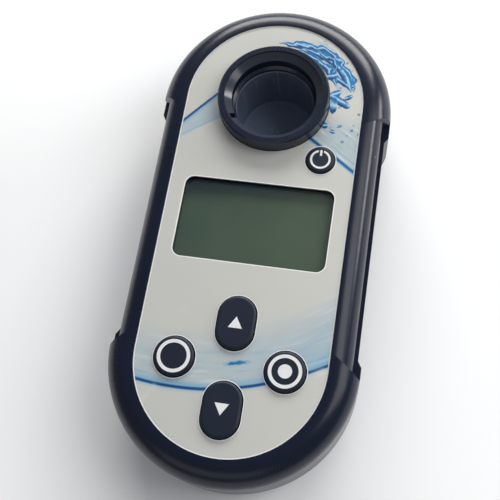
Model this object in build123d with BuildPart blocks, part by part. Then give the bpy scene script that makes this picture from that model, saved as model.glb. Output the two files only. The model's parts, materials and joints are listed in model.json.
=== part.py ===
from build123d import *
import math
import os

# Handheld digital water tester (pool photometer), lying on its back.
# Millimetres. It is drawn with the middle of the display at x = y = 0, and save() then moves
# every piece so that the origin lies under the middle of the case, at the level of its feet.
# +X is to the right of the display, +Y points up the face to the sample well, +Z out of the face.

# ---- driving dimensions: case ----
end_centre_y = 44.25        # centres of the two round ends
lobe_radius = 39.25         # bulged ends of the case
lower_lobe_y = 42.85        # the lower bulge sits a little nearer the middle
front_half_width = 36.7     # waist of the front shell
rear_half_width = 38.0      # waist of the rear shell
lip_radius = 30.2           # inner edge of the rounded bezel
overlay_radius = 29.7
cavity_half_width = 35.0
foot_height = 1.0
fit_gap = 0.2               # free space round a piece that drops into a recess or hole
back_z = foot_height        # outer face of the back
floor_z = back_z + 2.4      # inner face of the back
parting_z = 23.5            # where the two shells meet
ceiling_z = 30.3            # inner face of the front
overlay_floor_z = 32.5
face_z = 33.0               # printed face
bezel_z = 33.4
back_flat_radius = 30.7     # edge of the flat part of the back
cavity_round = 4.8          # rounded inner edges of both shells
boss_radius = 3.5           # bosses for the housing screws
post_radius = 2.4           # posts that the main board is screwed to
chamber_boss_radius = 3.0
gasket_radius = 36.1        # middle of the seal between the shells
gasket_width = 1.0
gasket_depth = 1.0

# Bulge ends, as slanted lines in plan: a point on each line and its slope.
front_crease = (26.7, 36.1, math.tan(math.radians(34.5)))
rear_crease = (36.0, 34.5, math.tan(math.radians(58.0)))

# ---- driving dimensions: display ----
window_length = 48.9
window_height = 27.9
window_corner = 3.0
pane_length = 54.4
pane_height = 33.4
pane_low_z = 30.6
pane_high_z = 31.4
lcd_length = 54.0
lcd_height = 32.8
lcd_low_z = 28.2
lcd_high_z = 30.4
lcd_frame_length = 60.0
lcd_frame_height = 36.4
connector_length = 24.0
connector_width = 3.2
connector_height = 1.8

# ---- driving dimensions: sample well ----
well_y = end_centre_y
collar_radius = 18.6
collar_top_z = 38.0
collar_shoulder_z = 33.1
neck_radius = 16.8
mouth_radius = 14.1         # bore that takes the light-shield cap
mouth_low_z = 32.3
mouth_high_z = 35.4
throat_radius = 13.2
throat_high_z = 31.4
throat_low_z = 30.9
rim_outer = 18.1            # flat top of the collar
rim_inner = 16.4
ledge_z = 37.3              # step inside the rim
collar_socket_radius = 15.3
cuvette_radius = 14.2
cuvette_inner_radius = 13.0
cuvette_lip_radius = 15.2
cuvette_top_z = 30.2
cuvette_floor_thickness = 1.4
chamber_low_z = 6.4
chamber_high_z = 29.0
chamber_floor_z = 8.4
notch_angle = 215.0
notch_width = 2.0
beam_z = 16.0               # height of the light beams
beam_spacing = 6.0
beam_radius = 1.2
chamber_radius = 17.0
chamber_side_reach = 19.5   # flat sides that carry the lamp and sensor boards
chamber_side_length = 22.0
chamber_side_height = 17.0
chamber_foot_length = 37.2
chamber_foot_height = 2.0
pocket_radius = 2.1         # pockets for the lamps and sensors
pocket_depth = 4.4
lamp_radius = 1.95
lamp_length = 3.0
filter_thickness = 1.2
sensor_width = 2.6
sensor_height = 2.2
optic_board_length = 20.0
optic_board_height = 14.0
optic_board_thickness = 1.6

# ---- driving dimensions: keys ----
key_gap = 0.25              # free space round a key
key_travel = 0.6
key_top_z = 34.2
power_top_z = 33.8
flange_low_z = 28.4
flange_high_z = 29.2
plunger_low_z = 27.95
legend_depth = 0.25
plunger_radius = 1.5
seal_plate_length = 50.0
seal_plate_height = 46.0
seal_plate_corner = 12.0
seal_plate_y = -46.6
power_seal_radius = 5.9
key_round = 0.8             # rounded top edge of the keys
triangle_width = 4.4
triangle_height = 3.6
ring_outer = 5.13
ring_inner = 4.05
dot_radius = 2.13
power_ring_outer = 3.35
power_ring_inner = 2.65
power_gap_width = 1.7
power_bar_width = 0.7
power_bar_length = 2.1
# name: x, y, end radius, straight length, flange overhang, top
keys = {
    "up_button": (0.0, -33.3, 5.85, 5.2, 1.1, key_top_z),
    "down_button": (0.0, -59.9, 5.85, 5.2, 1.1, key_top_z),
    "ring_button": (-17.0, -46.1, 6.2, 0.0, 1.1, key_top_z),
    "ring_dot_button": (17.0, -46.1, 6.2, 0.0, 1.1, key_top_z),
    "power_button": (18.2, 24.2, 4.6, 0.0, 0.8, power_top_z),
}

# ---- driving dimensions: boards and screws ----
board_low_z = 24.0
board_high_z = 25.6
board_half_width = 32.5
board_top_y = 30.5
board_well_radius = 20.3
chip_width = 10.0           # body of the microcontroller
chip_height = 1.2
chip_pin_width = 12.0
chip_pin_height = 0.2
chip_y = -24.0
small_part_size = (3.2, 1.8)
large_part_size = (5.0, 4.0)
small_part_places = [(x, y) for x in (-20.0, -13.0, 13.0, 20.0) for y in (-6.0, 6.0, 16.0)]
large_part_places = [(-22.0, -40.0), (22.0, -40.0)]
board_part_height = 1.0
radio_x = 9.5               # wireless module
radio_y = -57.0
radio_width = 12.0
radio_length = 16.0
radio_board_height = 0.8
radio_can_height = 1.6
radio_can_margin = 1.0
radio_antenna_length = 3.0  # end of the module that the screening can leaves bare
buzzer_place = (-11.0, -58.0)
buzzer_radius = 6.0
buzzer_height = 4.5
switch_width = 6.0
switch_height = 1.5
switch_stem_radius = 1.6
screw_places = [(x, y) for x in (-21.2, 21.2) for y in (-65.5, 65.5)] + [(-30.8, 25.0), (30.8, 25.0)]
housing_screw_radius = 1.5
housing_head_radius = 2.8
housing_head_height = 2.2
screw_seat_z = 9.0
insert_radius = 2.3
insert_length = 5.0
small_screw_radius = 1.0    # board screws
small_head_radius = 1.9
small_head_height = 1.2
small_screw_length = 4.4
chamber_screw_radius = 1.25
chamber_head_radius = 2.2
chamber_head_height = 1.6
driver_width = 0.7          # cross recess in the screw heads
housing_driver_reach = 1.6
housing_driver_depth = 1.2
door_driver_reach = 1.3
door_driver_depth = 0.7
board_screw_places = [(x, y) for x, y in ((-27.5, -24.0), (27.5, -24.0), (-24.0, -57.5), (24.0, -57.5))]
chamber_screw_places = [(x, well_y + y) for x in (-16.0, 16.0) for y in (-16.0, 16.0)]
foot_places = [(x, y) for x in (-22.0, 22.0) for y in (-57.0, 57.0)]
foot_radius = 4.5
foot_recess = 0.8

# ---- driving dimensions: battery bay ----
bay_y = -14.0
bay_half_width = 23.2
bay_half_length = 28.5
door_half_width = 27.0
door_half_length = 34.5
door_corner = 5.0
door_thickness = 2.0
door_ledge_z = 3.6
pad_z = 5.6
tray_high_z = 21.2
door_screw_places = [(x, bay_y + y) for x in (-18.0, 18.0) for y in (-31.8, 31.8)]
door_screw_radius = 1.25
door_screw_length = 6.4
door_screw_head_radius = 2.4
door_screw_head_height = 1.0
door_screw_low_z = back_z + 0.4
door_boss_radius = 2.3
door_boss_height = 5.4
door_plug_z = 4.3
door_groove_length = 26.0
door_groove_width = 1.4
door_groove_depth = 0.6
door_grooves = 5
door_groove_pitch = 3.0
door_groove_reach = 24.0    # from the middle of the door to the first groove
cell_radius = 7.25
cell_body_length = 49.2
cell_nub_length = 1.3
cell_nub_radius = 2.75
cell_z = 11.85
cell_spacing = 15.0
contact_thickness = 0.5
contact_width = 10.0
spring_wire_radius = 0.35
spring_radius = 3.4

os.makedirs("parts", exist_ok=True)


upper_end_y = end_centre_y + lobe_radius
lower_end_y = -lower_lobe_y - lobe_radius
middle_y = (upper_end_y + lower_end_y) / 2


def save(piece, name):
    """Bring a finished piece into the shared frame, label it and write it as a STEP file."""
    moved = piece.part.moved(Location((0, -middle_y, 0)))
    moved.label = name
    export_step(moved, f"parts/{name}.step")


def case_outline(half_width, centre_y=end_centre_y):
    """Stadium outline shared by the case, its cavity and the printed face."""
    SlotCenterToCenter(2 * centre_y, 2 * half_width, rotation=90)


def rounded_case_block(half_width, low_z, high_z, edge_radius, rounded_end, centre_y=end_centre_y):
    """Stadium block with its top (rounded_end -1) or bottom (0) edge rounded over."""
    with BuildPart() as block:
        with BuildSketch(Plane.XY.offset(low_z)):
            case_outline(half_width, centre_y)
        extrude(amount=high_z - low_z)
        fillet(block.edges().group_by(Axis.Z)[rounded_end], radius=edge_radius)
    return block.part


def end_bulge(flat_radius, crease, low_z, high_z, rounded_end, end):
    """Wider end of the case (end 1 upper, -1 lower), cut off at its slanted crease lines."""
    centre_y = end_centre_y if end == 1 else lower_lobe_y
    edge_radius = lobe_radius - flat_radius - (end_centre_y - centre_y)
    block = rounded_case_block(lobe_radius, low_z, high_z, edge_radius, rounded_end, centre_y)
    crease_x, crease_y, slope = crease
    reach = 1.2 * lobe_radius
    corner_y = crease_y + (reach - crease_x) * slope
    far_y = end_centre_y + 2 * reach
    with BuildPart() as bulge:
        with BuildSketch(Plane.XY.offset(low_z)):
            Polygon(
                (0, end * (crease_y - crease_x * slope)),
                (reach, end * corner_y),
                (reach, end * far_y),
                (-reach, end * far_y),
                (-reach, end * corner_y),
                align=None,
            )
        extrude(amount=high_z - low_z)
        add(block, mode=Mode.INTERSECT)
    return bulge.part


def gasket_outline():
    """Ring-shaped outline of the seal between the shells."""
    case_outline(gasket_radius + gasket_width / 2)
    inner_width = 2 * gasket_radius - gasket_width
    SlotCenterToCenter(2 * end_centre_y, inner_width, rotation=90, mode=Mode.SUBTRACT)


def key_outline(name, growth=0.0):
    """Outline of a key, larger by growth all round."""
    x, y, radius, straight, _, _ = keys[name]
    with Locations((x, y)):
        if straight:
            SlotCenterToCenter(straight, 2 * (radius + growth), rotation=90)
        else:
            Circle(radius + growth)


def rounded_plate(half_width, half_length, corner, centre_y=0.0, mode=Mode.ADD):
    """Rectangle with rounded corners, centred on the case's middle line."""
    with Locations((0, centre_y)):
        RectangleRounded(2 * half_width, 2 * half_length, corner, mode=mode)


# ---- front shell ----
front_round = front_half_width - lip_radius
front_block = rounded_case_block(front_half_width, parting_z, bezel_z, front_round, -1)
front_cavity = rounded_case_block(cavity_half_width, parting_z - 1, ceiling_z, cavity_round, -1)

with BuildPart() as front_shell:
    add(front_block)
    for end in (-1, 1):
        add(end_bulge(lip_radius, front_crease, parting_z, bezel_z, -1, end))
    add(front_cavity, mode=Mode.SUBTRACT)
    # screw bosses and board posts, down from the ceiling
    with BuildSketch(Plane.XY.offset(parting_z)):
        with Locations(*screw_places):
            Circle(boss_radius)
    extrude(amount=ceiling_z + 1 - parting_z)
    with BuildSketch(Plane.XY.offset(board_high_z)):
        with Locations(*board_screw_places):
            Circle(post_radius)
    extrude(amount=ceiling_z + 1 - board_high_z)
    # recess for the printed sheet
    with BuildSketch(Plane.XY.offset(overlay_floor_z)):
        case_outline(overlay_radius + 0.05)
    extrude(amount=bezel_z - overlay_floor_z, mode=Mode.SUBTRACT)
    # openings for the collar, the display and the keys
    with BuildSketch(Plane.XY.offset(ceiling_z - 1)):
        with Locations((0, well_y)):
            Circle(neck_radius + fit_gap)
        RectangleRounded(window_length, window_height, window_corner)
        for key in keys:
            key_outline(key, key_gap)
    extrude(amount=bezel_z - ceiling_z + 1, mode=Mode.SUBTRACT)
    # seat for the clear pane, from below
    with BuildSketch(Plane.XY.offset(ceiling_z - 1)):
        Rectangle(pane_length + fit_gap, pane_height + fit_gap)
    extrude(amount=pane_high_z - ceiling_z + 1, mode=Mode.SUBTRACT)
    # holes for the brass inserts and the board screws
    with BuildSketch(Plane.XY.offset(parting_z)):
        with Locations(*screw_places):
            Circle(insert_radius)
    extrude(amount=insert_length + 0.5, mode=Mode.SUBTRACT)
    with BuildSketch(Plane.XY.offset(board_high_z)):
        with Locations(*board_screw_places):
            Circle(small_screw_radius)
    extrude(amount=small_screw_length - 1, mode=Mode.SUBTRACT)
save(front_shell, "front_shell")

# ---- rear shell ----
rear_round = rear_half_width - back_flat_radius
rear_block = rounded_case_block(rear_half_width, back_z, parting_z, rear_round, 0)
rear_cavity = rounded_case_block(cavity_half_width, floor_z, parting_z + 1, cavity_round, 0)
foot_pocket_z = back_z + foot_recess

with BuildPart() as rear_shell:
    add(rear_block)
    for end in (-1, 1):
        add(end_bulge(back_flat_radius, rear_crease, back_z, parting_z, 0, end))
    add(rear_cavity, mode=Mode.SUBTRACT)
    # bosses for the housing screws and for the measuring chamber
    with BuildSketch(Plane.XY.offset(back_z + 1)):
        with Locations(*screw_places):
            Circle(boss_radius + 0.6)
    extrude(amount=parting_z - back_z - 1)
    with BuildSketch(Plane.XY.offset(back_z + 1)):
        with Locations(*chamber_screw_places):
            Circle(chamber_boss_radius)
    extrude(amount=chamber_low_z - back_z - 1)
    # thicker frame round the battery opening, and bosses for the door screws
    with BuildSketch(Plane.XY.offset(back_z + 1)):
        rounded_plate(door_half_width + 3, door_half_length + 3, door_corner, bay_y)
    extrude(amount=pad_z - back_z - 1)
    with BuildSketch(Plane.XY.offset(pad_z - 1)):
        with Locations(*door_screw_places):
            Circle(door_boss_radius)
    extrude(amount=door_boss_height)
    # door recess and battery opening
    with BuildSketch(Plane.XY.offset(back_z)):
        rounded_plate(door_half_width + fit_gap, door_half_length + fit_gap, door_corner + fit_gap, bay_y)
    extrude(amount=door_ledge_z - back_z, mode=Mode.SUBTRACT)
    with BuildSketch(Plane.XY.offset(back_z)):
        rounded_plate(bay_half_width + fit_gap, bay_half_length + fit_gap, 3.0, bay_y)
    extrude(amount=pad_z - back_z, mode=Mode.SUBTRACT)
    # screw holes: stepped for the housing screws, blind for the door and chamber screws
    with BuildSketch(Plane.XY.offset(back_z)):
        with Locations(*screw_places):
            Circle(housing_screw_radius + fit_gap)
    extrude(amount=parting_z - back_z, mode=Mode.SUBTRACT)
    with BuildSketch(Plane.XY.offset(back_z)):
        with Locations(*screw_places):
            Circle(housing_head_radius + fit_gap)
    extrude(amount=screw_seat_z - back_z, mode=Mode.SUBTRACT)
    with BuildSketch(Plane.XY.offset(door_ledge_z)):
        with Locations(*door_screw_places):
            Circle(door_screw_radius + 0.05)
    extrude(amount=door_boss_height, mode=Mode.SUBTRACT)
    with BuildSketch(Plane.XY.offset(floor_z - 0.8)):
        with Locations(*chamber_screw_places):
            Circle(chamber_screw_radius)
    extrude(amount=chamber_low_z - floor_z + 0.8, mode=Mode.SUBTRACT)
    # groove for the seal between the shells
    with BuildSketch(Plane.XY.offset(parting_z - gasket_depth)):
        gasket_outline()
    extrude(amount=gasket_depth, mode=Mode.SUBTRACT)
    # pockets for the feet
    with BuildSketch(Plane.XY.offset(back_z)):
        with Locations(*foot_places):
            Circle(foot_radius + 0.1)
    extrude(amount=foot_pocket_z - back_z, mode=Mode.SUBTRACT)
save(rear_shell, "rear_shell")

# ---- seal between the shells ----
with BuildPart() as housing_gasket:
    with BuildSketch(Plane.XY.offset(parting_z - gasket_depth)):
        gasket_outline()
    extrude(amount=gasket_depth)
save(housing_gasket, "housing_gasket")

# ---- printed face sheet ----
with BuildPart() as face_overlay:
    with BuildSketch(Plane.XY.offset(overlay_floor_z)):
        case_outline(overlay_radius)
        with Locations((0, well_y)):
            Circle(collar_radius + 0.15, mode=Mode.SUBTRACT)
        RectangleRounded(window_length, window_height, window_corner, mode=Mode.SUBTRACT)
    extrude(amount=face_z - overlay_floor_z)
    with BuildSketch(Plane.XY.offset(overlay_floor_z)):
        for key in keys:
            key_outline(key, key_gap + 0.1)
    extrude(amount=face_z - overlay_floor_z, mode=Mode.SUBTRACT)
save(face_overlay, "face_overlay")

# ---- display: pane, glass, light guide, frame, connector ----
with BuildPart() as display_window:
    with BuildSketch(Plane.XY.offset(pane_low_z)):
        Rectangle(pane_length, pane_height)
    extrude(amount=pane_high_z - pane_low_z)
save(display_window, "display_window")

with BuildPart() as lcd_panel:
    with BuildSketch(Plane.XY.offset(lcd_low_z)):
        Rectangle(lcd_length, lcd_height)
    extrude(amount=lcd_high_z - lcd_low_z)
    chamfer(lcd_panel.edges().group_by(Axis.Z)[-1], length=0.3)
save(lcd_panel, "lcd_panel")

frame_floor_z = board_high_z + 0.4
with BuildPart() as lcd_backlight:
    with BuildSketch(Plane.XY.offset(frame_floor_z)):
        Rectangle(lcd_length, lcd_height)
    extrude(amount=lcd_low_z - frame_floor_z)
save(lcd_backlight, "lcd_backlight")

with BuildPart() as lcd_frame:
    with BuildSketch(Plane.XY.offset(board_high_z)):
        Rectangle(lcd_frame_length, lcd_frame_height)
    extrude(amount=ceiling_z - 0.05 - board_high_z)
    with BuildSketch(Plane.XY.offset(frame_floor_z)):
        Rectangle(lcd_length + fit_gap, lcd_height + fit_gap)
    extrude(amount=pane_low_z - frame_floor_z, mode=Mode.SUBTRACT)
save(lcd_frame, "lcd_frame")

with BuildPart() as lcd_connector:
    with BuildSketch(Plane.XY.offset(board_high_z)):
        with Locations((0, -lcd_frame_height / 2 - connector_width / 2 - 0.6)):
            Rectangle(connector_length, connector_width)
    extrude(amount=connector_height)
save(lcd_connector, "lcd_connector")

# ---- main board and what it carries ----
with BuildPart() as main_board:
    with BuildSketch(Plane.XY.offset(board_low_z)):
        case_outline(board_half_width)
        with Locations((0, board_top_y + lobe_radius)):
            Rectangle(4 * lobe_radius, 2 * lobe_radius, mode=Mode.SUBTRACT)
        with Locations((0, well_y)):
            Circle(board_well_radius, mode=Mode.SUBTRACT)
        with Locations(*screw_places):
            Circle(boss_radius + 0.6, mode=Mode.SUBTRACT)
        with Locations(*board_screw_places):
            Circle(small_screw_radius + 0.15, mode=Mode.SUBTRACT)
    extrude(amount=board_high_z - board_low_z)
save(main_board, "main_board")

with BuildPart() as board_screws:
    with BuildSketch(Plane.XY.offset(board_low_z - small_head_height)):
        with Locations(*board_screw_places):
            Circle(small_head_radius)
    extrude(amount=small_head_height)
    with BuildSketch(Plane.XY.offset(board_low_z)):
        with Locations(*board_screw_places):
            Circle(small_screw_radius)
    extrude(amount=small_screw_length)
save(board_screws, "board_screws")

with BuildPart() as microcontroller:
    with BuildSketch(Plane.XY.offset(board_low_z - chip_pin_height - chip_height)):
        with Locations((0, chip_y)):
            Rectangle(chip_width, chip_width)
    extrude(amount=chip_height)
    with BuildSketch(Plane.XY.offset(board_low_z - chip_pin_height)):
        with Locations((0, chip_y)):
            Rectangle(chip_pin_width, chip_pin_width)
    extrude(amount=chip_pin_height)
save(microcontroller, "microcontroller")

with BuildPart() as board_components:
    with BuildSketch(Plane.XY.offset(board_low_z - board_part_height)):
        with Locations(*small_part_places):
            Rectangle(*small_part_size)
        with Locations(*large_part_places):
            Rectangle(*large_part_size)
    extrude(amount=board_part_height)
save(board_components, "board_components")

with BuildPart() as wireless_module:
    with BuildSketch(Plane.XY.offset(board_low_z - radio_board_height)):
        with Locations((radio_x, radio_y)):
            Rectangle(radio_width, radio_length)
    extrude(amount=radio_board_height)
    # screening can, over the upper part of the module
    with BuildSketch(Plane.XY.offset(board_low_z - radio_board_height - radio_can_height)):
        with Locations((radio_x, radio_y + radio_antenna_length / 2)):
            Rectangle(
                radio_width - 2 * radio_can_margin,
                radio_length - 2 * radio_can_margin - radio_antenna_length,
            )
    extrude(amount=radio_can_height)
save(wireless_module, "wireless_module")

with BuildPart() as buzzer:
    with BuildSketch(Plane.XY.offset(board_low_z - buzzer_height)):
        with Locations(buzzer_place):
            Circle(buzzer_radius)
    extrude(amount=buzzer_height)
    chamfer(buzzer.edges().group_by(Axis.Z)[0], length=0.4)
save(buzzer, "buzzer")

switch_high_z = board_high_z + switch_height
with BuildPart() as tact_switches:
    with BuildSketch(Plane.XY.offset(board_high_z)):
        for key_x, key_y, *_ in keys.values():
            with Locations((key_x, key_y)):
                Rectangle(switch_width, switch_width)
    extrude(amount=switch_high_z - board_high_z)
    with BuildSketch(Plane.XY.offset(switch_high_z)):
        for key_x, key_y, *_ in keys.values():
            with Locations((key_x, key_y)):
                Circle(switch_stem_radius)
    extrude(amount=plunger_low_z - key_travel - 0.05 - switch_high_z)
save(tact_switches, "tact_switches")

# ---- keys, with white marks let into their tops ----
seal_low_z = flange_high_z + 0.1
with BuildPart() as keypad_seal:
    with BuildSketch(Plane.XY.offset(seal_low_z)):
        with Locations((0, seal_plate_y)):
            RectangleRounded(seal_plate_length, seal_plate_height, seal_plate_corner)
        with Locations(*screw_places):
            Circle(boss_radius + 0.3, mode=Mode.SUBTRACT)
        with Locations(*board_screw_places):
            Circle(post_radius + 0.3, mode=Mode.SUBTRACT)
        with Locations(keys["power_button"][:2]):
            Circle(power_seal_radius)
    extrude(amount=ceiling_z - seal_low_z)
    with BuildSketch(Plane.XY.offset(seal_low_z)):
        for key in keys:
            key_outline(key, key_gap)
    extrude(amount=ceiling_z - seal_low_z, mode=Mode.SUBTRACT)
save(keypad_seal, "keypad_seal")


def mark_outline(name):
    """Outline of the white mark on a key."""
    x, y = keys[name][:2]
    with Locations((x, y)):
        if name in ("up_button", "down_button"):
            tip = 1 if name == "up_button" else -1
            Polygon(
                (-triangle_width / 2, -tip * triangle_height / 2),
                (triangle_width / 2, -tip * triangle_height / 2),
                (0, tip * triangle_height / 2),
                align=None,
            )
        elif name == "power_button":
            Circle(power_ring_outer)
            Circle(power_ring_inner, mode=Mode.SUBTRACT)
            with Locations((0, power_ring_outer)):
                Rectangle(power_gap_width, power_ring_outer, mode=Mode.SUBTRACT)
            with Locations((0, power_ring_outer - power_bar_length / 2)):
                Rectangle(power_bar_width, power_bar_length)
        else:
            Circle(ring_outer)
            Circle(ring_inner, mode=Mode.SUBTRACT)
            if name == "ring_dot_button":
                Circle(dot_radius)


for key, (key_x, key_y, _, _, overhang, top_z) in keys.items():
    with BuildPart() as mark:
        with BuildSketch(Plane.XY.offset(top_z - legend_depth)):
            mark_outline(key)
        extrude(amount=legend_depth)
    save(mark, key.replace("button", "legend"))

    with BuildPart() as cap:
        with BuildSketch(Plane.XY.offset(flange_high_z)):
            key_outline(key)
        extrude(amount=top_z - flange_high_z)
        fillet(cap.edges().group_by(Axis.Z)[-1], radius=key_round)
        with BuildSketch(Plane.XY.offset(flange_low_z)):
            key_outline(key, overhang)
        extrude(amount=flange_high_z - flange_low_z)
        with BuildSketch(Plane.XY.offset(plunger_low_z)):
            with Locations((key_x, key_y)):
                Circle(plunger_radius)
        extrude(amount=flange_low_z - plunger_low_z)
        add(mark.part, mode=Mode.SUBTRACT)
    save(cap, key)

# ---- collar round the sample well ----
notch_low_z = mouth_low_z + 1
notch_low_reach = throat_radius - 0.2
notch_high_reach = rim_inner - 0.4
with BuildPart() as well_collar:
    with BuildSketch(Plane.XZ.offset(-well_y)):
        with BuildLine():
            Polyline(
                (neck_radius, collar_shoulder_z),
                (collar_radius, collar_shoulder_z),
                (collar_radius, collar_top_z - 0.5),
                (rim_outer, collar_top_z),
                (rim_inner, collar_top_z),
                (rim_inner, ledge_z),
                (mouth_radius, mouth_high_z),
                (mouth_radius, mouth_low_z),
                (throat_radius, throat_high_z),
                (throat_radius, throat_low_z),
                (collar_socket_radius, throat_low_z),
                (collar_socket_radius, chamber_high_z),
                (neck_radius, chamber_high_z),
                close=True,
            )
        make_face()
    revolve(axis=Axis((0, well_y, 0), (0, 0, 1)))
    # slot that lines up the cap
    with BuildSketch(Plane.XY.offset(notch_low_z)):
        with Locations((0, well_y)):
            with PolarLocations((notch_low_reach + notch_high_reach) / 2, 1, start_angle=notch_angle):
                Rectangle(notch_high_reach - notch_low_reach, notch_width)
    extrude(amount=ledge_z - notch_low_z, mode=Mode.SUBTRACT)
save(well_collar, "well_collar")

with BuildPart() as collar_seal:
    with BuildSketch(Plane.XY.offset(overlay_floor_z)):
        with Locations((0, well_y)):
            Circle(collar_radius - fit_gap)
            Circle(neck_radius + 0.05, mode=Mode.SUBTRACT)
    extrude(amount=collar_shoulder_z - overlay_floor_z)
save(collar_seal, "collar_seal")

# ---- sample cup ----
cup_floor_z = chamber_floor_z + cuvette_floor_thickness
with BuildPart() as cuvette:
    with BuildSketch(Plane.XZ.offset(-well_y)):
        with BuildLine():
            Polyline(
                (0, chamber_floor_z),
                (cuvette_radius - 0.6, chamber_floor_z),
                (cuvette_radius, chamber_floor_z + 0.6),
                (cuvette_radius, chamber_high_z),
                (cuvette_lip_radius, chamber_high_z),
                (cuvette_lip_radius, cuvette_top_z),
                (cuvette_inner_radius + 0.3, cuvette_top_z),
                (cuvette_inner_radius, cuvette_top_z - 0.3),
                (cuvette_inner_radius, cup_floor_z + 1.0),
                (cuvette_inner_radius - 1.0, cup_floor_z),
                (0, cup_floor_z),
                close=True,
            )
        make_face()
    revolve(axis=Axis((0, well_y, 0), (0, 0, 1)))
save(cuvette, "cuvette")

with BuildPart() as cuvette_seal:
    with BuildSketch(Plane.XY.offset(cuvette_top_z)):
        with Locations((0, well_y)):
            Circle(cuvette_lip_radius)
            Circle(cuvette_inner_radius + 0.35, mode=Mode.SUBTRACT)
    extrude(amount=throat_low_z - cuvette_top_z)
save(cuvette_seal, "cuvette_seal")

# ---- light-tight block round the cup ----
beam_places = [(well_y + step * beam_spacing, beam_z) for step in (-1, 0, 1)]
with BuildPart() as measuring_chamber:
    with BuildSketch(Plane.XY.offset(chamber_low_z)):
        with Locations((0, well_y)):
            Circle(chamber_radius)
    extrude(amount=chamber_high_z - chamber_low_z)
    with BuildSketch(Plane.XY.offset(chamber_low_z)):
        with Locations((0, well_y)):
            Rectangle(2 * chamber_side_reach, chamber_side_length)
    extrude(amount=chamber_side_height)
    with BuildSketch(Plane.XY.offset(chamber_low_z)):
        with Locations((0, well_y)):
            RectangleRounded(2 * chamber_side_reach, chamber_foot_length, 3.0)
    extrude(amount=chamber_foot_height)
    with BuildSketch(Plane.XY.offset(chamber_floor_z)):
        with Locations((0, well_y)):
            Circle(cuvette_radius + 0.05)
    extrude(amount=chamber_high_z - chamber_floor_z, mode=Mode.SUBTRACT)
    with BuildSketch(Plane.XY.offset(chamber_low_z)):
        with Locations(*chamber_screw_places):
            Circle(chamber_screw_radius + 0.15)
    extrude(amount=chamber_foot_height, mode=Mode.SUBTRACT)
    # pockets for the lamps and sensors, and the light paths between them
    for side in (-1, 1):
        with BuildSketch(Plane.YZ.offset(side * chamber_side_reach)):
            with Locations(*beam_places):
                Circle(pocket_radius)
        extrude(amount=-side * pocket_depth, mode=Mode.SUBTRACT)
    with BuildSketch(Plane.YZ.offset(-chamber_side_reach)):
        with Locations(*beam_places):
            Circle(beam_radius)
    extrude(amount=2 * chamber_side_reach, mode=Mode.SUBTRACT)
save(measuring_chamber, "measuring_chamber")

with BuildPart() as chamber_screws:
    with BuildSketch(Plane.XY.offset(chamber_floor_z)):
        with Locations(*chamber_screw_places):
            Circle(chamber_head_radius)
    extrude(amount=chamber_head_height)
    with BuildSketch(Plane.XY.offset(floor_z - 0.4)):
        with Locations(*chamber_screw_places):
            Circle(chamber_screw_radius)
    extrude(amount=chamber_floor_z - floor_z + 0.4)
save(chamber_screws, "chamber_screws")

board_reach = chamber_side_reach + 0.1
for side, name in ((-1, "led_board"), (1, "detector_board")):
    with BuildPart() as optic_board:
        with BuildSketch(Plane.YZ.offset(side * board_reach)):
            with Locations((well_y, beam_z)):
                RectangleRounded(optic_board_length, optic_board_height, 1.5)
        extrude(amount=side * optic_board_thickness)
    save(optic_board, name)

with BuildPart() as led_emitters:
    with BuildSketch(Plane.YZ.offset(-board_reach)):
        with Locations(*beam_places):
            Circle(lamp_radius)
    extrude(amount=lamp_length)
    fillet(led_emitters.edges().group_by(Axis.X)[-1], radius=1.4)
save(led_emitters, "led_emitters")

with BuildPart() as light_filters:
    with BuildSketch(Plane.YZ.offset(-chamber_side_reach + pocket_depth - filter_thickness - 0.05)):
        with Locations(*beam_places):
            Circle(pocket_radius - 0.05)
    extrude(amount=filter_thickness)
save(light_filters, "light_filters")

with BuildPart() as photodiodes:
    with BuildSketch(Plane.YZ.offset(board_reach)):
        with Locations(*beam_places):
            Rectangle(sensor_width, sensor_width)
    extrude(amount=-sensor_height)
save(photodiodes, "photodiodes")

# ---- screws and inserts that close the case ----
with BuildPart() as threaded_inserts:
    with BuildSketch(Plane.XY.offset(parting_z)):
        with Locations(*screw_places):
            Circle(insert_radius)
    extrude(amount=insert_length)
    with BuildSketch(Plane.XY.offset(parting_z)):
        with Locations(*screw_places):
            Circle(housing_screw_radius)
    extrude(amount=insert_length, mode=Mode.SUBTRACT)
save(threaded_inserts, "threaded_inserts")


def cross_outline(places, reach):
    """Outline of the driver recess in each screw head."""
    with Locations(*places):
        Rectangle(2 * reach, driver_width)
        Rectangle(driver_width, 2 * reach)


with BuildPart() as housing_screws:
    with BuildSketch(Plane.XY.offset(screw_seat_z - housing_head_height)):
        with Locations(*screw_places):
            Circle(housing_head_radius)
    extrude(amount=housing_head_height)
    chamfer(housing_screws.edges().group_by(Axis.Z)[0], length=0.5)
    with BuildSketch(Plane.XY.offset(screw_seat_z)):
        with Locations(*screw_places):
            Circle(housing_screw_radius)
    extrude(amount=parting_z + insert_length - 0.5 - screw_seat_z)
    with BuildSketch(Plane.XY.offset(screw_seat_z - housing_head_height)):
        cross_outline(screw_places, housing_driver_reach)
    extrude(amount=housing_driver_depth, mode=Mode.SUBTRACT)
save(housing_screws, "housing_screws")

# ---- battery bay ----
with BuildPart() as battery_tray:
    with BuildSketch(Plane.XY.offset(pad_z)):
        rounded_plate(bay_half_width + 1.5, bay_half_length + 0.9, 1.5, bay_y)
    extrude(amount=tray_high_z - pad_z)
    with BuildSketch(Plane.XY.offset(pad_z)):
        rounded_plate(bay_half_width, bay_half_length, 0.8, bay_y)
    extrude(amount=tray_high_z - 1.2 - pad_z, mode=Mode.SUBTRACT)
save(battery_tray, "battery_tray")

contact_reach = bay_half_length - contact_thickness
spring_length = 2 * contact_reach - cell_body_length - cell_nub_length
cell_columns = [(-cell_spacing, 1), (0.0, -1), (cell_spacing, 1)]   # x, and the way the nub points

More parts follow.
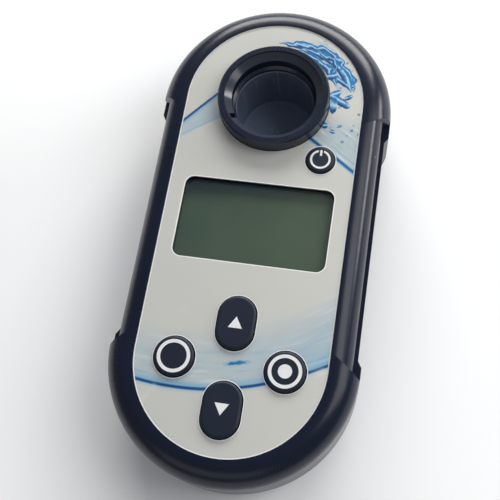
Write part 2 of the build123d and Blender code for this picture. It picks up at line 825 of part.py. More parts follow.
with BuildPart() as battery_cells:
    for cell_x, way in cell_columns:
        nub_end_y = bay_y + way * contact_reach
        with BuildSketch(Plane.XZ.offset(-(nub_end_y - way * cell_nub_length))):
            with Locations((cell_x, cell_z)):
                Circle(cell_radius)
        extrude(amount=way * cell_body_length)
        with BuildSketch(Plane.XZ.offset(-nub_end_y)):
            with Locations((cell_x, cell_z)):
                Circle(cell_nub_radius)
        extrude(amount=way * cell_nub_length)
save(battery_cells, "battery_cells")

with BuildPart() as battery_contacts:
    for side in (-1, 1):
        with BuildSketch(Plane.XZ.offset(-(bay_y + side * bay_half_length))):
            with Locations(*[(cell_x, cell_z) for cell_x, _ in cell_columns]):
                RectangleRounded(contact_width, contact_width, 1.0)
        extrude(amount=side * contact_thickness)
save(battery_contacts, "battery_contacts")

coil_length = spring_length - 2 * spring_wire_radius - 0.04
coil_turns = 3
with BuildPart() as battery_springs:
    for cell_x, way in cell_columns:
        foot_y = bay_y - way * (contact_reach - spring_wire_radius - 0.02)
        coil = Helix(
            pitch=coil_length / coil_turns,
            height=coil_length,
            radius=spring_radius,
            center=(cell_x, foot_y, cell_z),
            direction=(0, way, 0),
        )
        with BuildSketch(Plane(origin=coil @ 0, z_dir=coil % 0)):
            Circle(spring_wire_radius)
        sweep(path=coil, is_frenet=True)
save(battery_springs, "battery_springs")

first_groove_y = bay_y - door_groove_reach
groove_places = [(0, first_groove_y + door_groove_pitch * step) for step in range(door_grooves)]
with BuildPart() as battery_door:
    with BuildSketch(Plane.XY.offset(back_z)):
        rounded_plate(door_half_width, door_half_length, door_corner, bay_y)
    extrude(amount=door_thickness)
    chamfer(battery_door.edges().group_by(Axis.Z)[0], length=0.4)
    with BuildSketch(Plane.XY.offset(back_z + door_thickness)):
        rounded_plate(bay_half_width - fit_gap, bay_half_length - fit_gap, 2.6, bay_y)
    extrude(amount=door_plug_z - back_z - door_thickness)
    # finger grooves
    with BuildSketch(Plane.XY.offset(back_z)):
        with Locations(*groove_places):
            SlotOverall(door_groove_length, door_groove_width)
    extrude(amount=door_groove_depth, mode=Mode.SUBTRACT)
    with BuildSketch(Plane.XY.offset(back_z)):
        with Locations(*door_screw_places):
            Circle(door_screw_head_radius + 0.15)
    extrude(amount=door_screw_low_z + door_screw_head_height - back_z, mode=Mode.SUBTRACT)
    with BuildSketch(Plane.XY.offset(back_z)):
        with Locations(*door_screw_places):
            Circle(door_screw_radius + 0.1)
    extrude(amount=door_thickness, mode=Mode.SUBTRACT)
save(battery_door, "battery_door")

with BuildPart() as door_gasket:
    with BuildSketch(Plane.XY.offset(back_z + door_thickness)):
        rounded_plate(door_half_width - 0.4, door_half_length - 0.4, door_corner - 0.4, bay_y)
        rounded_plate(bay_half_width + 0.5, bay_half_length + 0.5, 3.0, bay_y, mode=Mode.SUBTRACT)
        with Locations(*door_screw_places):
            Circle(door_screw_radius + 0.3, mode=Mode.SUBTRACT)
    extrude(amount=door_ledge_z - back_z - door_thickness)
save(door_gasket, "door_gasket")

with BuildPart() as door_screws:
    with BuildSketch(Plane.XY.offset(door_screw_low_z)):
        with Locations(*door_screw_places):
            Circle(door_screw_head_radius)
    extrude(amount=door_screw_head_height)
    with BuildSketch(Plane.XY.offset(door_screw_low_z + door_screw_head_height)):
        with Locations(*door_screw_places):
            Circle(door_screw_radius)
    extrude(amount=door_screw_length)
    with BuildSketch(Plane.XY.offset(door_screw_low_z)):
        cross_outline(door_screw_places, door_driver_reach)
    extrude(amount=door_driver_depth, mode=Mode.SUBTRACT)
save(door_screws, "door_screws")

# ---- feet ----
with BuildPart() as rubber_feet:
    with BuildSketch():
        with Locations(*foot_places):
            Circle(foot_radius)
    extrude(amount=foot_pocket_z)
    fillet(rubber_feet.edges().group_by(Axis.Z)[0], radius=0.4)
save(rubber_feet, "rubber_feet")
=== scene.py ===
import json
import math

import bpy
from mathutils import Matrix, Vector


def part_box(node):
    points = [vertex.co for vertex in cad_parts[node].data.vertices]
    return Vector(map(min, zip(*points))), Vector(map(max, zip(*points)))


# Looks for the handheld water tester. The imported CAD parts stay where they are, and every
# material is worked out by nodes from the part's own coordinates, in millimetres.

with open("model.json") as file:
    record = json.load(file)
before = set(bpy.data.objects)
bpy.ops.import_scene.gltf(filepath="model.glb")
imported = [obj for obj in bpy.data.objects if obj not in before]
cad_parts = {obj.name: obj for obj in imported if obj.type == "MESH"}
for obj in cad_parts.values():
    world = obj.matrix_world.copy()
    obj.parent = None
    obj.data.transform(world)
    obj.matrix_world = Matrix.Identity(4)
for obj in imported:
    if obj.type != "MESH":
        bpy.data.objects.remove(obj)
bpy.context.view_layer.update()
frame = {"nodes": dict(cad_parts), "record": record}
nodes = frame["nodes"]
MM = 0.001

# ---- places and sizes read from the frame, in millimetres ----
face_low, face_high = (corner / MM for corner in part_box("face_overlay"))
face_y = (face_low.y + face_high.y) / 2
face_radius = face_high.x
end_reach = face_high.y - face_y - face_radius   # from the middle of the face to its round ends
face_z = face_high.z
collar_low, collar_high = (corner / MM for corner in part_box("well_collar"))
well_y = (collar_low.y + collar_high.y) / 2
well_reach = well_y - face_y
well_floor_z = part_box("cuvette")[0].z / MM
lcd_low, lcd_high = (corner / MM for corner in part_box("lcd_panel"))

# ---- sizes that no box in the frame gives, in millimetres ----
rim_inner_radius = 16.4   # where the collar's flat rim ends and its sloping inner wall begins
mouth_top_z = 35.4        # where the straight bore below the sloping wall ends
window_half_length = 24.45
window_half_height = 13.95
window_corner = 3.0
key_overhangs = {   # how far each key's hidden flange stands out beyond its cap
    "up_button": 1.1,
    "down_button": 1.1,
    "ring_button": 1.1,
    "ring_dot_button": 1.1,
    "power_button": 0.8,
}


# ---- a small language for node materials ----
class Field:
    """A number that a material works out at each point, so that formulas read as formulas."""

    def __init__(self, paint, socket):
        self.paint = paint
        self.socket = socket

    def apply(self, operation, *others):
        node = self.paint.add("ShaderNodeMath", operation=operation)
        for slot, value in enumerate((self, *others)):
            self.paint.feed(node.inputs[slot], value)
        return Field(self.paint, node.outputs[0])

    def __add__(self, other):
        return self.apply("ADD", other)

    def __sub__(self, other):
        return self.apply("SUBTRACT", other)

    def __mul__(self, other):
        return self.apply("MULTIPLY", other)

    def __truediv__(self, other):
        return self.apply("DIVIDE", other)

    def __abs__(self):
        return self.apply("ABSOLUTE")

    __radd__ = __add__
    __rmul__ = __mul__

    def __rsub__(self, other):
        return self * -1 + other

    def highest(self, other):
        return self.apply("MAXIMUM", other)

    def root(self):
        return self.apply("SQRT")

    def sine(self):
        return self.apply("SINE")

    def around_zero(self, span):
        """Turns a field from 0 to 1 into one from minus half the span to plus half the span."""
        return (self - 0.5) * span

    def step(self, start, end):
        """Rises smoothly from 0 at start to 1 at end, or falls if end is below start."""
        node = self.paint.add("ShaderNodeMapRange", interpolation_type="SMOOTHSTEP")
        falling = end < start
        self.paint.feed_all(node, {
            "Value": self,
            "From Min": min(start, end),
            "From Max": max(start, end),
            "To Min": float(falling),
            "To Max": float(not falling),
        })
        return Field(self.paint, node.outputs[0])


class Paint:
    """One material, built from a Principled shader and fields."""

    def __init__(self, name, **settings):
        self.material = bpy.data.materials.new(name)
        self.material.use_nodes = True
        self.tree = self.material.node_tree
        self.shader = self.tree.nodes["Principled BSDF"]
        self.set(**settings)
        coordinates = self.add("ShaderNodeTexCoord")
        scaled = self.add("ShaderNodeVectorMath", operation="SCALE")
        self.tree.links.new(coordinates.outputs["Object"], scaled.inputs[0])
        scaled.inputs["Scale"].default_value = 1 / MM
        self.place = scaled.outputs[0]
        split = self.add("ShaderNodeSeparateXYZ")
        self.tree.links.new(self.place, split.inputs[0])
        self.x, self.y, self.z = (Field(self, split.outputs[axis]) for axis in range(3))

    def add(self, kind, **settings):
        node = self.tree.nodes.new(kind)
        for name, value in settings.items():
            setattr(node, name, value)
        return node

    def feed(self, socket, value):
        """Gives an input a number, a colour as red, green and blue, or another node's output."""
        if isinstance(value, Field):
            value = value.socket
        if isinstance(value, tuple) and len(value) == 3:
            value = (*value, 1.0)
        if isinstance(value, bpy.types.NodeSocket):
            self.tree.links.new(value, socket)
        else:
            socket.default_value = value

    def feed_all(self, node, values):
        """Feeds a node's inputs, named as in Blender."""
        for name, value in values.items():
            self.feed(node.inputs[name], value)

    def set(self, **settings):
        """Feeds inputs of the shader, named as in Blender with _ for a space."""
        for name, value in settings.items():
            self.feed(self.shader.inputs[name.replace("_", " ")], value)

    def vector(self, x, y, z=0.0):
        """Place put together from three fields or numbers."""
        node = self.add("ShaderNodeCombineXYZ")
        for slot, value in enumerate((x, y, z)):
            self.feed(node.inputs[slot], value)
        return node.outputs[0]

    def noise(self, size, detail=2.0, roughness=0.5, at=None, warp=0.0):
        """Noise from 0 to 1 whose lumps are about size millimetres across."""
        node = self.add("ShaderNodeTexNoise")
        self.feed_all(node, {
            "Vector": self.place if at is None else at,
            "Scale": 1 / size,
            "Detail": detail,
            "Roughness": roughness,
            "Distortion": warp,
        })
        return Field(self, node.outputs[0])

    def specks(self, spacing, edge, core, patch, patch_low=0.50, patch_high=0.60):
        """Scattered dots, about one per spacing millimetres: 1 inside core and 0 past edge, both in
        cell widths. They are seen only in patches about patch millimetres across."""
        cells = self.add("ShaderNodeTexVoronoi", feature="F1")
        self.feed_all(cells, {"Vector": self.place, "Scale": 1 / spacing})
        dots = Field(self, cells.outputs["Distance"]).step(edge, core)
        return dots * self.noise(patch).step(patch_low, patch_high)

    def blend(self, amount, low, high):
        """Colour between low and high."""
        node = self.add("ShaderNodeMix", data_type="RGBA")
        colour_a, colour_b = node.inputs[6], node.inputs[7]
        self.feed(node.inputs["Factor"], amount)
        self.feed(colour_a, low)
        self.feed(colour_b, high)
        return node.outputs[2]

    def bump(self, height, depth):
        """Surface relief: height from 0 to 1 stands for depth millimetres."""
        node = self.add("ShaderNodeBump")
        self.feed(node.inputs["Height"], height)
        node.inputs["Strength"].default_value = 1.0
        node.inputs["Distance"].default_value = depth * MM
        self.tree.links.new(node.outputs[0], self.shader.inputs["Normal"])


def length(x, y):
    """Distance of the point x, y from zero."""
    return (x * x + y * y).root()


def line(distance, width, softness):
    """1 on a line, falling to 0 beside it."""
    return abs(distance).step(width / 2 + softness, width / 2)


def slot_distance(x, y, half_length):
    """Distance from the middle line of a straight slot that lies along y."""
    return length(x, (abs(y) - half_length).highest(0.0))


def bowl(x, lowest_x, lowest_y, bend):
    """Height of a curve that opens upward from its lowest point."""
    from_lowest = x - lowest_x
    return from_lowest * from_lowest * bend + lowest_y


def mix_shaders(tree, amount, first, second):
    """Output of a node that goes from the first shader to the second."""
    mixer = tree.nodes.new("ShaderNodeMixShader")
    tree.links.new(amount, mixer.inputs[0])
    tree.links.new(first.outputs[0], mixer.inputs[1])
    tree.links.new(second.outputs[0], mixer.inputs[2])
    return mixer.outputs[0]


# ---- materials ----
dust_colour = (0.42, 0.44, 0.46)
lint_colour = (0.40, 0.42, 0.45)
moulded_grain = 0.35   # width of the lumps that spark erosion leaves in a mould


def darker(colour, share):
    """The same colour, with only a share of its brightness."""
    return tuple(share * channel for channel in colour)


def moulded_relief(paint, fine, depth):
    """Grain of a moulded surface: fine lumps over slightly wider ones."""
    paint.bump(fine * 0.6 + paint.noise(0.9) * 0.4, depth)


def moulded_plastic(name, colour, roughness, grain, dust):
    """Moulded plastic, glass or ceramic: fine grain, uneven gloss from handling, some dust."""
    paint = Paint(name, IOR=1.40)
    broad = paint.noise(28.0, detail=3.0)
    fine = paint.noise(moulded_grain)
    specks = paint.specks(7.0, edge=0.035, core=0.020, patch=11.0) * dust
    body = paint.blend(broad, darker(colour, 0.72), colour)
    paint.set(Base_Color=paint.blend(specks, body, dust_colour))
    paint.set(Roughness=roughness + broad.around_zero(0.12) + fine.around_zero(0.08) + specks * 0.4)
    moulded_relief(paint, fine, grain)
    return paint.material


def collar_plastic(colour):
    """The well's collar: moulded outside, polished down its sloping inner wall, which has a lighter
    colour as painted light.
    """
    paint = Paint("collar_plastic", IOR=1.45)
    painted_light_wall_colour = (0.030, 0.036, 0.052)
    soft_edge = 0.1
    fine = paint.noise(moulded_grain)
    broad = paint.noise(12.0, detail=3.0)
    from_axis = length(paint.x, paint.y - well_y)
    inside_rim = from_axis.step(rim_inner_radius + soft_edge, rim_inner_radius - soft_edge)
    above_mouth = paint.z.step(mouth_top_z - soft_edge, mouth_top_z + soft_edge)
    inner_wall = inside_rim * above_mouth
    body = paint.blend(broad, darker(colour, 0.75), colour)
    # Painted light: the sloping inner wall is coloured lighter, standing in for the room's reflected
    # light.
    paint.set(Base_Color=paint.blend(inner_wall, body, painted_light_wall_colour))
    paint.set(Roughness=0.27 + broad.around_zero(0.10) + fine.around_zero(0.06) - inner_wall * 0.13)
    moulded_relief(paint, fine, 0.003)
    return paint.material


def rubber(name, colour):
    """Silicone or rubber: even, soft sheen with a very fine texture and lint."""
    paint = Paint(name, IOR=1.41)
    fine = paint.noise(0.25)
    broad = paint.noise(9.0)
    lint = paint.specks(4.5, edge=0.030, core=0.018, patch=6.0, patch_low=0.52, patch_high=0.62)
    body = paint.blend(broad, darker(colour, 0.75), colour)
    paint.set(Base_Color=paint.blend(lint * 0.6, body, lint_colour))
    paint.set(Roughness=0.5 + fine.around_zero(0.15) + broad.around_zero(0.08))
    paint.bump(fine, 0.012)
    return paint.material


def white_resin():
    """Inlaid white mark of a key: slightly uneven white, satin."""
    paint = Paint("white_mark", IOR=1.45)
    paint.set(Base_Color=paint.blend(paint.noise(2.5), (0.66, 0.67, 0.68), (0.80, 0.80, 0.79)))
    paint.set(Roughness=0.45 + paint.noise(0.3).around_zero(0.20))
    paint.bump(paint.noise(0.25), 0.01)
    return paint.material


def metal(name, colour, roughness, scratch_size):
    """Turned or drawn metal: fine lengthwise scratches and stains."""
    paint = Paint(name, Metallic=1.0)
    stretched = paint.vector(paint.x, paint.y * 0.15, paint.z)
    scratches = paint.noise(scratch_size, detail=3.0, at=stretched)
    clean = paint.noise(3.0, detail=3.0).step(0.35, 0.60)
    paint.set(Base_Color=paint.blend(clean, darker(colour, 0.6), colour))
    paint.set(Roughness=roughness + scratches.around_zero(0.30))
    paint.bump(scratches, 0.01)
    return paint.material


def clear_sheet():
    """Clear acrylic pane: lets light through and reflects a little, with faint smears."""
    paint = Paint("clear_pane")
    acrylic_index = 1.49
    smear = paint.noise(9.0, detail=4.0, warp=1.5)
    through = paint.add("ShaderNodeBsdfTransparent")
    paint.feed(through.inputs["Color"], (0.90, 0.94, 0.92))
    gloss = paint.add("ShaderNodeBsdfGlossy")
    paint.feed(gloss.inputs["Roughness"], 0.03 + smear * 0.09)
    # Light leaves the pane as easily as it enters, so the index is turned round on the inner faces.
    back_face = Field(paint, paint.add("ShaderNodeNewGeometry").outputs["Backfacing"])
    fresnel = paint.add("ShaderNodeFresnel")
    paint.feed(fresnel.inputs["IOR"], acrylic_index + back_face * (1.0 / acrylic_index - acrylic_index))
    mixed = mix_shaders(paint.tree, fresnel.outputs[0], through, gloss)
    paint.feed(paint.tree.nodes["Material Output"].inputs["Surface"], mixed)
    return paint.material


def display_glass():
    """Unlit liquid crystal glass: grey green with a faint dot grid. Painted shade makes it darker to
    the left, and a painted shadow with a bluish painted reflection makes it bluer and darker at the
    top.
    """
    paint = Paint("display_glass", IOR=1.5, Roughness=0.18)
    # Painted shade: the left colour is darker than the right, and the top colour is a painted shadow
    # with a bluish painted reflection under the window's top edge.
    left_colour, right_colour = (0.051, 0.085, 0.066), (0.153, 0.179, 0.126)
    painted_shade_top_colour = (0.004, 0.026, 0.048)
    dot_colour, speck_colour = (0.012, 0.020, 0.015), (0.25, 0.28, 0.25)
    dot_pitch = 0.38
    band_slope, band_low, band_high = 0.12, -13.5, -2.5   # the painted shade band, darker and bluer, from the top left corner

    cloud = paint.noise(16.0)
    across = paint.x.step(lcd_low.x, lcd_high.x)
    body = paint.blend(cloud * 0.5 + across * 0.5, left_colour, right_colour)
    # Painted shadow and reflection: a darker, bluer band along the top, under the window's edge.
    from_top = paint.y - lcd_high.y - (paint.x - lcd_low.x) * band_slope
    body = paint.blend(from_top.step(band_low, band_high), body, painted_shade_top_colour)
    waves_x = (paint.x * (2 * math.pi / dot_pitch)).sine()
    waves_y = (paint.y * (2 * math.pi / dot_pitch)).sine()
    dots = (waves_x * waves_y).step(-0.6, 0.6)
    gridded = paint.blend(dots * 0.08, body, dot_colour)
    specks = paint.specks(4.0, edge=0.06, core=0.03, patch=8.0)
    paint.set(Base_Color=paint.blend(specks * 0.5, gridded, speck_colour))
    paint.set(Coat_Weight=0.5, Coat_Roughness=0.05)
    return paint.material


class FacePrint:
    """The printed face: inks laid over one another, with x and y from the middle of the face."""

    silver_low, silver_high = (0.472, 0.482, 0.452), (0.580, 0.576, 0.532)
    pale, sky, blue = (0.330, 0.435, 0.495), (0.085, 0.320, 0.530), (0.004, 0.120, 0.310)
    deep, white = (0.002, 0.040, 0.150), (0.76, 0.80, 0.82)
    splash_sky, splash_blue = (0.050, 0.340, 0.600), (0.002, 0.130, 0.350)
    splash_deep = (0.001, 0.050, 0.175)
    edge_highlight_white = (0.88, 0.88, 0.88)

    def __init__(self):
        self.paint = Paint("printed_sheet", IOR=1.46)
        self.x = self.paint.x
        self.y = self.paint.y - face_y
        self.cloud = self.paint.noise(34.0, detail=3.0)
        self.grain = self.paint.noise(0.22)
        self.wobble = self.paint.noise(9.0).around_zero(1.0)
        self.ragged = self.paint.noise(2.2, detail=3.0).around_zero(2.0)
        self.colour = self.silver_ground()

    def ink(self, colour, where, strength=1.0):
        """Prints colour where the field is 1, as dense as strength."""
        self.colour = self.paint.blend(where * strength, self.colour, colour)

    def silver_ground(self):
        """Silver ink with painted light: a little lighter to the right and upward, with a broad cloudy
        sheen.
        """
        # Painted light: the silver is lighter to the right and upward, where the light falls.
        rightward = self.x.step(-1.5 * face_radius, 1.5 * face_radius)
        upward = self.y.step(-90.0, 20.0)
        light = rightward * 0.5 + self.cloud * 0.3 + upward * 0.2
        return self.paint.blend(light, self.silver_low, self.silver_high)

    def left_crests(self):
        """Pale water between the two crest lines on the left of the well."""
        upper_start, upper_slope = 33.4, 1.15
        lower_start, lower_slope = 27.8, 0.68
        from_edge = self.x + face_radius
        upper = self.y - (from_edge * upper_slope + upper_start) + self.wobble * 0.5
        lower = self.y - (from_edge * lower_slope + lower_start) + self.wobble
        left_of_well = self.x.step(-13.0, -17.0)
        along = self.paint.vector(self.x * 0.3 + self.y * 0.2, self.y - self.x * 0.9)
        streaks = self.paint.noise(1.6, detail=3.0, at=along)
        between = upper.step(0.6, -0.4) * lower.step(-0.3, 0.6) * left_of_well
        self.ink(self.pale, between, 0.35 + streaks * 0.75)
        self.ink(self.sky, between * upper.step(-3.2, 0.0), 0.55)
        self.ink(self.sky, line(lower, 0.25, 0.60) * left_of_well, 0.45)
        self.ink(self.blue, line(upper + 0.2, 0.80, 0.60) * left_of_well)
        self.ink(self.deep, line(upper, 0.40, 0.30) * left_of_well, 0.9)

    def right_crest(self):
        """Crest line from the well down to the right edge, with pale streaked water above it."""
        start_x, start_y, slope = 13.4, 32.1, 0.68
        crest = self.y - (start_y - (self.x - start_x) * slope) + self.wobble * 0.4
        right_of_well = self.x.step(11.5, 13.5)
        along = self.paint.vector(self.x * 0.25 + self.y * 0.1, self.x * slope + self.y)
        streaks = self.paint.noise(1.4, detail=3.0, at=along)
        water = crest.step(-0.3, 0.6) * self.y.step(43.0, 34.0) * right_of_well
        self.ink(self.pale, water, 0.30 + streaks * 0.7)
        self.ink(self.sky, water * streaks.step(0.54, 0.70), 0.45)
        self.ink(self.white, water * streaks.step(0.42, 0.30), 0.5)
        self.ink(self.sky, line(crest + 0.2, 0.70, 1.00) * right_of_well, 0.8)
        self.ink(self.blue, line(crest, 0.70, 0.40) * right_of_well)
        self.ink(self.deep, line(crest, 0.10, 0.30) * right_of_well * self.x.step(32.0, 15.0))

    def rounded_water(self, inside, place_across):
        """Water that looks lit from above; place_across runs from -1 to 1 over it."""
        self.ink(self.splash_sky, inside, 0.9)
        self.ink(self.white, inside * line(place_across - 0.15, 0.12, 0.20), 0.45)
        self.ink(self.splash_blue, inside * place_across.step(0.35, 0.60))
        self.ink(self.splash_deep, inside * place_across.step(0.0, -0.45))

    def splash(self):
        """Mist, strands that sweep round the upper right of the well, then blobs and loose drops."""
        across, up = self.x, self.y - well_reach
        reach = length(across, up)
        turn = up.apply("ARCTAN2", across) * (180 / math.pi)
        sway = self.paint.noise(6.0, warp=0.5).around_zero(5.0)
        around = self.paint.vector(reach, turn * 0.10)
        fray = self.paint.noise(1.5, at=around).around_zero(1.6)

        mist_radius, mist_half_width = 24.4, 4.0
        in_mist = (mist_half_width - abs(reach - mist_radius) + self.ragged).step(0.0, 1.5)
        mist = in_mist * turn.step(74.0, 58.0) * turn.step(10.0, 18.0)
        self.ink(self.pale, mist, 0.4)
        self.ink(self.sky, mist * fray.step(-0.10, 0.25), 0.45)

        # radius, how far the strand drifts outward between two angles, half width, its two ends, sway
        for radius, outward, drift_from, drift_to, half_width, first, last, bend in (
            (22.4, 4.4, 88.0, 36.0, 1.05, 98.0, 12.0, 0.9),
            (21.2, 5.4, 32.0, 16.0, 1.20, 84.0, 13.0, -0.7),
            (22.6, 3.0, 74.0, 20.0, 1.45, 76.0, 12.0, 0.3),
            (24.8, -2.8, 46.0, 30.0, 0.95, 66.0, 20.0, -1.2),
        ):
            middle = turn.step(drift_from, drift_to) * outward + radius + sway * bend
            swell = turn.step(first, first - 22.0) * turn.step(last, last + 10.0)
            place_across = (reach - middle) / (swell * half_width + 0.02) + fray
            inside = abs(place_across).step(1.15, 0.85) * swell.step(0.02, 0.10)
            self.rounded_water(inside, place_across)

        # middle from the well's axis, half length, half height, slope
        for middle_x, middle_y, half_length, half_height, slope in (
            (18.0, 11.6, 1.8, 1.6, 0.3),
            (21.6, 9.6, 2.4, 1.2, -0.6),
            (19.8, 4.6, 2.2, 1.9, 0.5),
            (22.2, 2.0, 3.2, 1.9, -0.5),
            (19.9, 0.2, 1.3, 3.2, 0.0),
            (24.2, 3.8, 2.0, 1.0, 0.5),
            (17.9, -7.2, 1.4, 1.2, 0.0),
            (20.6, -9.2, 1.1, 0.7, -0.3),
            (22.8, -7.0, 0.9, 0.5, 0.3),
        ):
            place_along = (across - middle_x) / half_length
            place_across = (up - middle_y - (across - middle_x) * slope) / half_height
            inside = 1.0 - length(place_along, place_across) + self.ragged * 0.45
            self.rounded_water(inside.step(0.0, 0.15), place_across + fray * 0.5)

        drops = self.paint.specks(2.0, edge=0.34, core=0.22, patch=4.0, patch_low=0.46, patch_high=0.54)
        spray = drops * reach.step(20.0, 22.0) * turn.step(-34.0, -26.0) * turn.step(70.0, 50.0)
        self.ink(self.blue, spray, 0.7)

    def lower_wave(self):
        """Broad wave across the lower face, streaked along its flow, with a dark crest line below."""
        crest = self.y - bowl(self.x, -16.0, -55.1, 0.0062) + self.wobble * 0.25
        top = self.y - bowl(self.x, -22.0, -39.5, 0.0072)
        flow = self.paint.vector(self.x * 0.14, crest * (1.0 - self.x * 0.006))
        ripple = self.paint.noise(1.7, detail=4.0, roughness=0.6, at=flow)
        broad_flow = self.paint.noise(5.0, at=flow)
        wave = crest.step(-0.2, 0.4) * top.step(5.0, -8.0)
        self.ink(self.pale, wave * (0.25 + ripple * 0.85), 0.85)
        self.ink(self.sky, wave * ripple.step(0.52, 0.68) * crest.step(18.0, 3.0), 0.40)
        self.ink(self.white, wave * broad_flow.step(0.45, 0.34), 0.35)
        self.ink(self.sky, wave * self.x.step(-5.0, 27.0) * crest.step(20.0, 1.0), 0.30)
        self.ink(self.sky, line(crest - 0.5, 0.80, 2.00), 0.50)
        self.ink(self.blue, line(crest, 0.60, 0.40))
        self.ink(self.deep, line(crest, 0.25, 0.35), 0.8)

    def wave_accent(self):
        """Small darker ripple in the middle of the wave."""
        middle_x, middle_y, half_length, half_height, slope = 1.5, -46.0, 3.4, 0.7, 0.22
        along = (self.x - middle_x) / half_length
        across = (self.y - middle_y - self.x * slope) / half_height
        reach = length(along, across) + self.ragged * 1.1
        self.ink(self.sky, reach.step(1.5, 0.8), 0.6)
        self.ink(self.blue, reach.step(0.9, 0.5), 0.9)

    def smears(self):
        """Faint pale smears of painted reflection, where the film is not quite flat."""
        # Painted reflection: pale smears of light on the lower face.
        smear = self.paint.noise(6.0, warp=0.6).step(0.56, 0.74)
        patches = self.paint.noise(14.0).step(0.46, 0.60)
        self.ink(self.white, smear * patches * self.y.step(-20.0, -58.0), 0.30)

    def painted_edge_highlights(self):
        """Painted highlight where the film's edge catches the light: round its outline, the display and
        the keys.
        """
        outline = face_radius - slot_distance(self.x, self.y, end_reach)
        edge_highlight = outline.step(0.42, 0.30)
        past_x = (abs(self.x) - window_half_length + window_corner).highest(0.0)
        past_y = (abs(self.y) - window_half_height + window_corner).highest(0.0)
        window_edge = length(past_x, past_y) - window_corner
        edge_highlight = edge_highlight.highest(window_edge.step(0.34, 0.24))
        for key, overhang in key_overhangs.items():
            low, high = (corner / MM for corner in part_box(key))
            middle_x, middle_y = (low.x + high.x) / 2, (low.y + high.y) / 2 - face_y
            key_radius = (high.x - low.x) / 2 - overhang
            key_reach = (high.y - low.y) / 2 - overhang - key_radius
            key_edge = slot_distance(self.x - middle_x, self.y - middle_y, key_reach) - key_radius
            edge_highlight = edge_highlight.highest(key_edge.step(0.62, 0.54))
        # Painted highlight: a thin bright line along the film's edges.
        self.ink(self.edge_highlight_white, edge_highlight, 0.9)


def printed_sheet():
    """Silver film with a generic water print: crest lines, a splash by the well, and a wave."""
    face = FacePrint()
    face.left_crests()
    face.right_crest()
    face.splash()
    face.lower_wave()
    face.wave_accent()
    face.smears()
    face.painted_edge_highlights()
    paint = face.paint
    paint.set(Base_Color=face.colour)
    paint.set(Roughness=0.40 + face.cloud.around_zero(0.16) + face.grain.around_zero(0.08))
    paint.set(Coat_Weight=0.15, Coat_Roughness=0.25)
    paint.bump(face.grain * 0.5 + face.cloud * 0.5, 0.012)
    return paint.material


def cup_resin():
    """Dark resin of the sample cup, paler toward its floor as painted light and shade that evens out
    the light down the cup, with fine upright pale streaks that are painted reflections.
    """
    paint = Paint("cup_resin", IOR=1.55)
    floor_colour, wall_colour = (0.165, 0.205, 0.290), (0.090, 0.112, 0.165)
    painted_reflection_colour = (0.40, 0.43, 0.50)
    upright = paint.vector(paint.x, paint.y * 0.35, paint.z * 0.05)
    reflection_streaks = paint.noise(1.6, at=upright)
    # Painted light and shade: paler toward the floor and darker up the wall, so as to even out the
    # light in the deep cup.
    up_the_wall = paint.z.step(well_floor_z + 2.0, well_floor_z + 18.0)
    body = paint.blend(up_the_wall, floor_colour, wall_colour)
    # Painted reflections: pale upright streaks, where the surface is also a little rougher.
    paint.set(Base_Color=paint.blend(reflection_streaks.step(0.60, 0.75) * 0.35, body, painted_reflection_colour))
    paint.set(Roughness=0.45 + reflection_streaks.step(0.55, 0.75) * 0.15, Specular_IOR_Level=0.25)
    return paint.material


def circuit_board():
    """Green solder resist over copper tracks."""
    paint = Paint("circuit_board", IOR=1.5, Roughness=0.35)
    resist_colour, track_colour = (0.01, 0.10, 0.04), (0.05, 0.22, 0.09)
    winding = paint.noise(4.0, detail=0.0, at=paint.vector(paint.x, paint.y)).around_zero(1.0)
    tracks = abs(winding).step(0.03, 0.02)
    paint.set(Base_Color=paint.blend(tracks, resist_colour, track_colour))
    paint.bump(tracks, 0.04)
    return paint.material


def pale_floor():
    """Plain matt floor, with hardly visible broad clouds."""
    paint = Paint("pale_floor", IOR=1.4)
    cloud = paint.noise(120.0, detail=3.0)
    paint.set(Base_Color=paint.blend(cloud, (0.91, 0.92, 0.93), (0.95, 0.95, 0.95)))
    paint.set(Roughness=0.7 + cloud.around_zero(0.10))
    return paint.material


# ---- the look of each material slot in the record ----
plastics = {   # colour, roughness, depth of the grain in millimetres, amount of dust
    "housing": ((0.0040, 0.0088, 0.0250), 0.25, 0.004, 1.0),
    "chamber_plastic": ((0.008, 0.008, 0.010), 0.60, 0.020, 0.2),
    "black_plastic": ((0.012, 0.012, 0.014), 0.50, 0.020, 0.2),
    "light_guide": ((0.75, 0.77, 0.72), 0.50, 0.010, 0.0),
    "ceramic_chip": ((0.30, 0.22, 0.14), 0.60, 0.020, 0.0),
    "lamp_lens": ((0.60, 0.62, 0.64), 0.12, 0.005, 0.0),
    "filter_glass": ((0.10, 0.16, 0.55), 0.08, 0.002, 0.0),
}
rubbers = {   # colour
    "key_rubber": (0.0038, 0.0095, 0.0270),
    "seal_rubber": (0.012, 0.012, 0.013),
    "foot_rubber": (0.018, 0.018, 0.019),
}
metals = {   # colour, roughness, width of the scratches in millimetres
    "screw_steel": ((0.62, 0.62, 0.63), 0.32, 0.15),
    "insert_brass": ((0.72, 0.52, 0.22), 0.35, 0.20),
    "contact_metal": ((0.75, 0.73, 0.68), 0.25, 0.15),
    "cell_jacket": ((0.10, 0.22, 0.16), 0.35, 0.80),
}
looks = {
    "collar_plastic": collar_plastic((0.0062, 0.0120, 0.0300)),
    "white_mark": white_resin(),
    "clear_pane": clear_sheet(),
    "display_glass": display_glass(),
    "printed_sheet": printed_sheet(),
    "smoked_clear": cup_resin(),
    "circuit_board": circuit_board(),
}
for slot, settings in plastics.items():
    looks[slot] = moulded_plastic(slot, *settings)
for slot, colour in rubbers.items():
    looks[slot] = rubber(slot, colour)
for slot, settings in metals.items():
    looks[slot] = metal(slot, *settings)
slot_of = {part["node"]: part["material_slot"] for part in frame["record"]["subparts"]}
for name, piece in nodes.items():
    piece.data.materials.clear()
    piece.data.materials.append(looks[slot_of[name]])


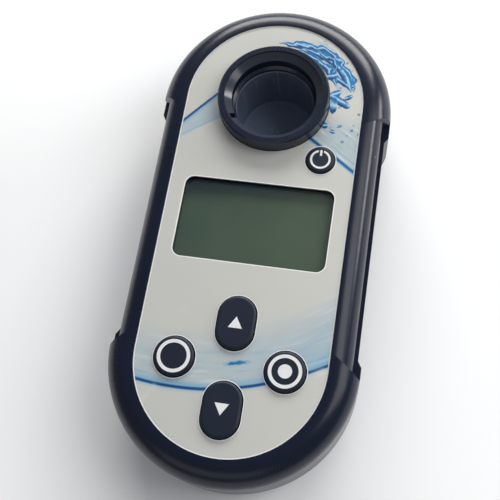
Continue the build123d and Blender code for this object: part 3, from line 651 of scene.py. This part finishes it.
# ---- floor, light and camera ----
def add_area_light(name, place, aim, width, height, watts, colour=(1.0, 1.0, 1.0)):
    """Soft rectangular light in metres, which the camera doesn't see."""
    lamp = bpy.data.lights.new(name, "AREA")
    lamp.shape = "RECTANGLE"
    lamp.size = width
    lamp.size_y = height
    lamp.energy = watts
    lamp.color = colour
    holder = bpy.data.objects.new(name, lamp)
    bpy.context.scene.collection.objects.link(holder)
    holder.location = place
    holder.rotation_euler = (Vector(aim) - Vector(place)).to_track_quat("-Z", "Y").to_euler()
    holder.visible_camera = False


def add_floor(radius, corners=96):
    """Round pale floor that the tester lies on."""
    mesh = bpy.data.meshes.new("floor")
    angles = [2 * math.pi * corner / corners for corner in range(corners)]
    rim = [(radius * math.cos(angle), radius * math.sin(angle), 0.0) for angle in angles]
    mesh.from_pydata(rim, [], [tuple(range(corners))])
    mesh.materials.append(pale_floor())
    floor = bpy.data.objects.new("floor", mesh)
    bpy.context.scene.collection.objects.link(floor)


def add_camera(target, azimuth, elevation, distance, roll, lens):
    """Camera that looks at target; azimuth 0 looks along +Y, roll turns it anticlockwise."""
    around, above = math.radians(azimuth), math.radians(elevation)
    back = Vector((
        math.sin(around) * math.cos(above),
        -math.cos(around) * math.cos(above),
        math.sin(above),
    ))
    camera = bpy.data.objects.new("camera", bpy.data.cameras.new("camera"))
    camera.data.lens = lens
    camera.data.sensor_width = 36.0
    camera.data.clip_start = 0.01
    camera.location = Vector(target) + back * distance
    turn = (-back).to_track_quat("-Z", "Y").to_matrix().to_4x4()
    camera.rotation_euler = (turn @ Matrix.Rotation(math.radians(roll), 4, "Z")).to_euler()
    bpy.context.scene.collection.objects.link(camera)
    bpy.context.scene.camera = camera


def add_world(light_strength, backdrop_strength):
    """Soft light from all round, with a paler backdrop seen past the floor's edge."""
    world = bpy.data.worlds.new("studio")
    world.use_nodes = True
    tree = world.node_tree
    light = tree.nodes["Background"]
    light.inputs["Color"].default_value = (0.93, 0.95, 1.0, 1.0)
    light.inputs["Strength"].default_value = light_strength
    backdrop = tree.nodes.new("ShaderNodeBackground")
    backdrop.inputs["Color"].default_value = (1.0, 1.0, 1.0, 1.0)
    backdrop.inputs["Strength"].default_value = backdrop_strength
    seen_directly = tree.nodes.new("ShaderNodeLightPath").outputs["Is Camera Ray"]
    mixed = mix_shaders(tree, seen_directly, light, backdrop)
    tree.links.new(mixed, tree.nodes["World Output"].inputs["Surface"])
    bpy.context.scene.world = world


bpy.context.scene.view_settings.view_transform = "Standard"
add_world(light_strength=0.26, backdrop_strength=0.93)
add_floor(radius=0.7)
add_area_light(
    "window_light",
    place=(0.06, 1.25, 0.58),
    aim=(0, 0.02, 0.03),
    width=1.45,
    height=0.58,
    watts=25.0,
    colour=(1.0, 0.99, 0.97),
)
add_area_light(
    "fill_light",
    place=(0.95, 0.30, 1.10),
    aim=(0, 0, 0),
    width=0.95,
    height=0.95,
    watts=8.8,
)
add_area_light(
    "side_light",
    place=(1.11, 0.64, 0.36),
    aim=(0, 0.04, 0.03),
    width=0.50,
    height=0.24,
    watts=4.2,
)
add_area_light(
    "front_light",
    place=(-0.15, -1.00, 0.58),
    aim=(0, 0, 0.02),
    width=1.20,
    height=0.50,
    watts=1.1,
)
add_camera(
    target=(0.0004, -0.0100, face_z * MM),
    azimuth=22.78,
    elevation=69.43,
    distance=0.2586,
    roll=-14.45,
    lens=59.21,
)
